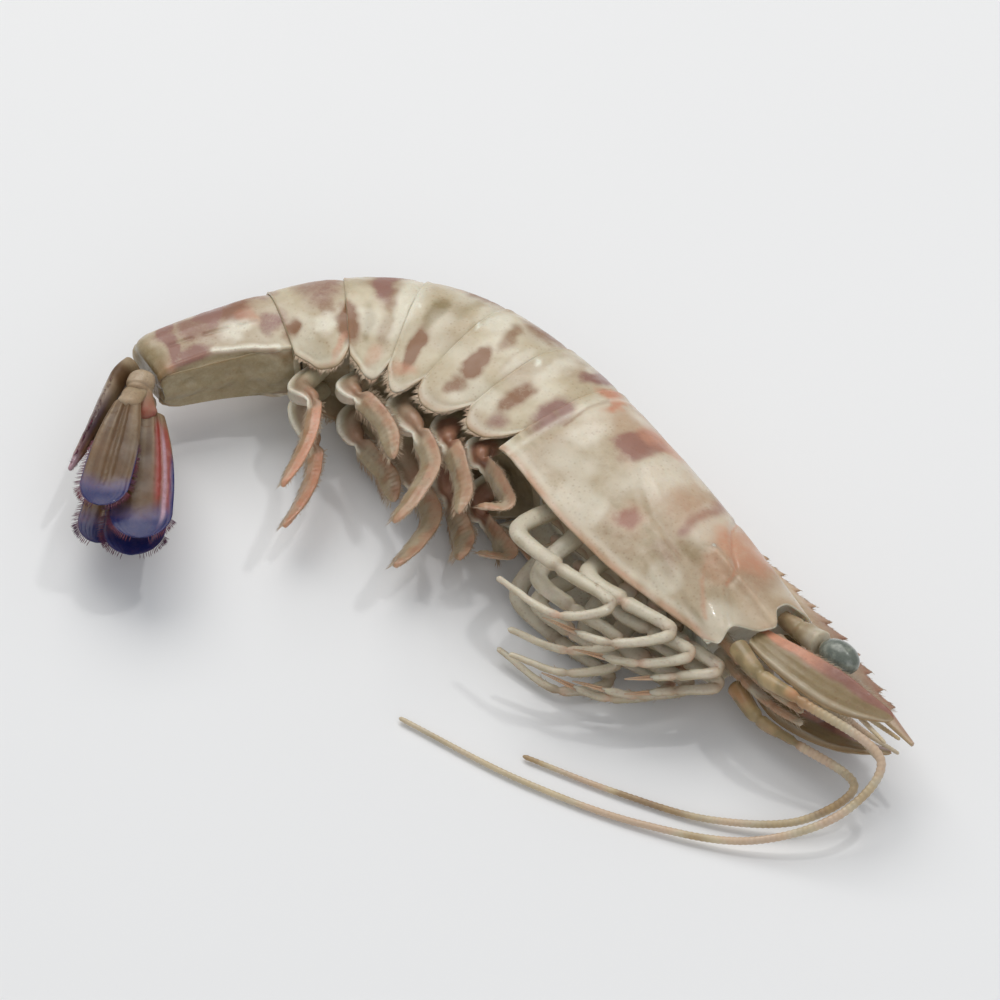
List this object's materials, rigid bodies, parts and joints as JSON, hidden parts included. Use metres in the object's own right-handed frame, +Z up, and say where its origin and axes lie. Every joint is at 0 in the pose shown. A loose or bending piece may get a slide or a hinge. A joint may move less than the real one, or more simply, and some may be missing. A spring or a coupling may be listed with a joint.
{
  "type": "raw caramote prawn",
  "caption": "Whole raw prawn with its shell, head, legs and tail fan, lying on its left side with its back bowed.",
  "frame": {"origin": "middle of the floor rectangle under the whole prawn", "axes": "+Z up from the floor the prawn lies on, +X from the tail joint towards the tip of the rostrum, +Y on the side of the back"},
  "size_m": [0.131, 0.0663, 0.0202],
  "materials": {
    "shell": "wet translucent shell, cream with brown and mauve blotches in oblique bands",
    "fan": "wet shell, olive brown with a red outer margin and blue and violet edges",
    "limb": "wet thin shell, cream to pale grey with orange and red patches",
    "whisker": "wet horny feelers, pale straw to pink",
    "eye": "glossy dark grey green"
  },
  "bodies": {
    "root": {"carapace": "shell", "somite_1": "shell", "somite_2": "shell", "somite_3": "shell", "somite_4": "shell", "somite_5": "shell", "somite_6": "shell", "thorax": "limb", "telson": "fan", "uropod_base_right": "fan", "uropod_exopod_right": "fan", "uropod_endopod_right": "fan", "uropod_base_left": "fan", "uropod_exopod_left": "fan", "uropod_endopod_left": "fan", "pleopod_1_right": "limb", "pleopod_1_left": "limb", "pleopod_2_right": "limb", "pleopod_2_left": "limb", "pleopod_3_right": "limb", "pleopod_3_left": "limb", "pleopod_4_right": "limb", "pleopod_4_left": "limb", "pleopod_5_right": "limb", "pleopod_5_left": "limb", "pereiopod_1_right": "limb", "pereiopod_1_left": "limb", "pereiopod_2_right": "limb", "pereiopod_2_left": "limb", "pereiopod_3_right": "limb", "pereiopod_3_left": "limb", "pereiopod_4_right": "limb", "pereiopod_4_left": "limb", "pereiopod_5_right": "limb", "pereiopod_5_left": "limb", "maxilliped_right": "limb", "maxilliped_left": "limb", "eye_right": "eye", "eye_left": "eye", "eyestalk_right": "limb", "eyestalk_left": "limb", "antennal_scale_right": "limb", "antennal_scale_left": "limb", "antenna_right": "whisker", "antenna_left": "whisker", "antennule_right": "whisker", "antennule_left": "whisker"}
  },
  "joints": []
}
